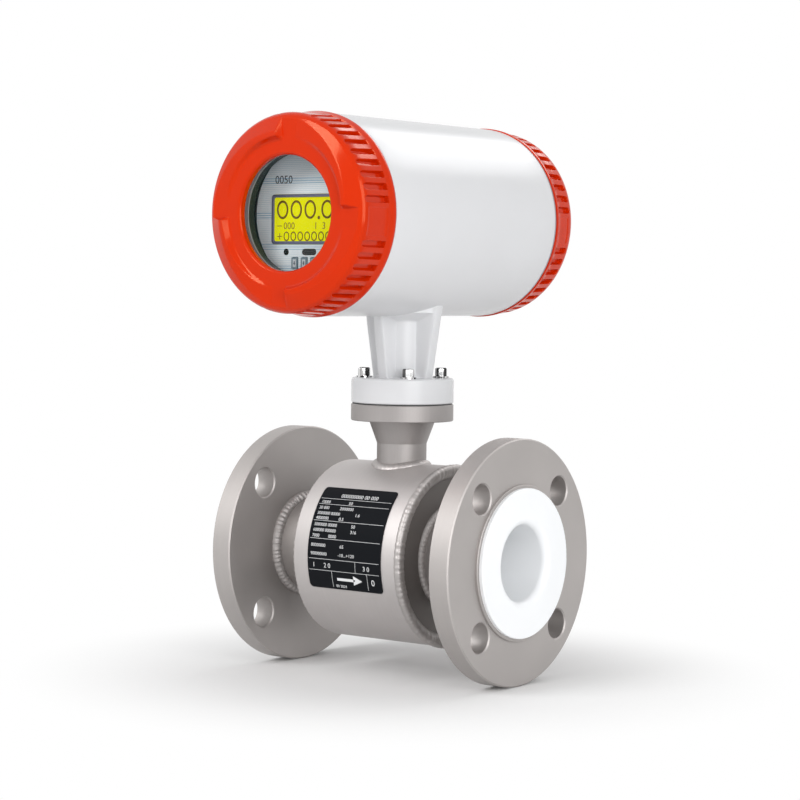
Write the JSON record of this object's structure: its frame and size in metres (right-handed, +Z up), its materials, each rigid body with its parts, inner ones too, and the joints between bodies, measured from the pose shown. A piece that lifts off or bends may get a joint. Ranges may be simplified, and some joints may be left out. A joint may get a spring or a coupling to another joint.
{
  "type": "electromagnetic flow meter",
  "caption": "Flanged electromagnetic flow meter: lined steel tube in a welded coil housing, with a white transmitter head, windowed front cover and blind rear cover on a ribbed neck.",
  "frame": {"origin": "middle of the measuring tube on the flow axis", "axes": "+X along the flow from inlet to outlet, +Z up through the neck, the display looks along -Y"},
  "size_m": [0.195, 0.2312, 0.3546],
  "materials": {
    "blasted_steel": "bead-blasted stainless steel, satin",
    "weld_steel": "rippled stainless weld bead",
    "ptfe": "smooth white fluoropolymer",
    "nameplate_black": "black printed label with pale lines",
    "soft_iron": "plain soft iron",
    "copper_winding": "enamelled copper wire",
    "screw_steel": "polished stainless steel",
    "electrode_steel": "polished stainless steel",
    "insulator": "plain insulating plastic",
    "gasket_grey": "matt grey rubber",
    "housing_white": "glossy powder coat",
    "cover_orange": "glossy orange-red powder coat",
    "window_glass": "clear toughened glass",
    "retainer_aluminium": "turned aluminium",
    "faceplate_blue": "printed light blue film",
    "bezel_slate": "slate blue frame",
    "lcd_yellow": "lit yellow-green display",
    "lens_black": "dark infrared window",
    "cup_black": "black moulded plastic",
    "board_green": "solder mask green",
    "component_black": "black moulded components",
    "terminal_green": "green moulded terminal body",
    "key_grey": "grey rubber key",
    "gland_nylon": "black nylon",
    "gland_rubber": "black rubber"
  },
  "bodies": {
    "meter": {"board_spacers": "screw_steel", "coil_housing": "blasted_steel", "coil_screws": "screw_steel", "display_bezel": "bezel_slate", "display_board": "board_green", "display_cup": "cup_black", "electrode_nuts": "screw_steel", "end_welds": "weld_steel", "faceplate": "faceplate_blue", "flange_welds": "weld_steel", "front_electrode": "electrode_steel", "front_electrode_bush": "insulator", "front_gland_body": "gland_nylon", "inlet_end_plate": "blasted_steel", "inlet_flange": "blasted_steel", "key_switches": "component_black", "lcd_module": "lcd_yellow", "lower_coil": "copper_winding", "lower_pole_shoe": "soft_iron", "magnetic_yoke": "soft_iron", "main_board": "board_green", "main_board_parts": "component_black", "measuring_tube": "blasted_steel", "nameplate": "nameplate_black", "neck_flange": "blasted_steel", "neck_gasket": "gasket_grey", "neck_pipe": "blasted_steel", "neck_screws": "screw_steel", "neck_washers": "screw_steel", "neck_weld": "weld_steel", "optical_windows": "lens_black", "outlet_end_plate": "blasted_steel", "outlet_flange": "blasted_steel", "power_board": "board_green", "power_board_parts": "component_black", "ptfe_lining": "ptfe", "rear_electrode": "electrode_steel", "rear_electrode_bush": "insulator", "rear_gland_body": "gland_nylon", "terminal_block": "terminal_green", "terminal_screws": "screw_steel", "transmitter_housing": "housing_white", "upper_coil": "copper_winding", "upper_pole_shoe": "soft_iron"},
    "front_seal": {"front_gasket": "gasket_grey"},
    "front_cover": {"front_cover": "cover_orange", "window_glass": "window_glass", "glass_gasket": "gasket_grey", "glass_retainer": "retainer_aluminium"},
    "rear_seal": {"rear_gasket": "gasket_grey"},
    "rear_cover": {"rear_cover": "cover_orange"},
    "front_gland_seal": {"front_gland_seal": "gland_rubber"},
    "front_gland_nut": {"front_gland_nut": "gland_nylon"},
    "rear_gland_seal": {"rear_gland_seal": "gland_rubber"},
    "rear_gland_nut": {"rear_gland_nut": "gland_nylon"},
    "key_1": {"key_1": "key_grey"},
    "key_2": {"key_2": "key_grey"},
    "key_3": {"key_3": "key_grey"},
    "key_4": {"key_4": "key_grey"}
  },
  "joints": [
    {"name": "front_cover_advance", "type": "slide", "parent": "meter", "child": "front_seal", "axis": [0, -1, 0], "range_m": [0, 0.015]},
    {"name": "front_cover_turn", "type": "hinge", "parent": "front_seal", "child": "front_cover", "pos_m": [0, -0.0887, 0.2143], "axis": [0, -1, 0], "range_deg": [0, 2700]},
    {"name": "rear_cover_advance", "type": "slide", "parent": "meter", "child": "rear_seal", "axis": [0, 1, 0], "range_m": [0, 0.015]},
    {"name": "rear_cover_turn", "type": "hinge", "parent": "rear_seal", "child": "rear_cover", "pos_m": [0, 0.0827, 0.2143], "axis": [0, 1, 0], "range_deg": [0, 2700]},
    {"name": "key_1_press", "type": "slide", "parent": "meter", "child": "key_1", "axis": [0, 1, 0], "range_m": [0, 0.0008], "stiffness_N_per_m": 1500},
    {"name": "key_2_press", "type": "slide", "parent": "meter", "child": "key_2", "axis": [0, 1, 0], "range_m": [0, 0.0008], "stiffness_N_per_m": 1500},
    {"name": "key_3_press", "type": "slide", "parent": "meter", "child": "key_3", "axis": [0, 1, 0], "range_m": [0, 0.0008], "stiffness_N_per_m": 1500},
    {"name": "key_4_press", "type": "slide", "parent": "meter", "child": "key_4", "axis": [0, 1, 0], "range_m": [0, 0.0008], "stiffness_N_per_m": 1500},
    {"name": "front_gland_advance", "type": "slide", "parent": "meter", "child": "front_gland_seal", "axis": [-1, 0, 0], "range_m": [0, 0.009]},
    {"name": "front_gland_turn", "type": "hinge", "parent": "front_gland_seal", "child": "front_gland_nut", "pos_m": [-0.08, 0.033, 0.2143], "axis": [-1, 0, 0], "range_deg": [0, 2160]},
    {"name": "rear_gland_advance", "type": "slide", "parent": "meter", "child": "rear_gland_seal", "axis": [-1, 0, 0], "range_m": [0, 0.009]},
    {"name": "rear_gland_turn", "type": "hinge", "parent": "rear_gland_seal", "child": "rear_gland_nut", "pos_m": [-0.08, 0.065, 0.2143], "axis": [-1, 0, 0], "range_deg": [0, 2160]}
  ],
  "couplings": [
    {"joint": "front_cover_turn", "follows": "front_cover_advance", "rad_per_m": 3141.6},
    {"joint": "rear_cover_turn", "follows": "rear_cover_advance", "rad_per_m": 3141.6},
    {"joint": "front_gland_turn", "follows": "front_gland_advance", "rad_per_m": 4188.8},
    {"joint": "rear_gland_turn", "follows": "rear_gland_advance", "rad_per_m": 4188.8}
  ]
}
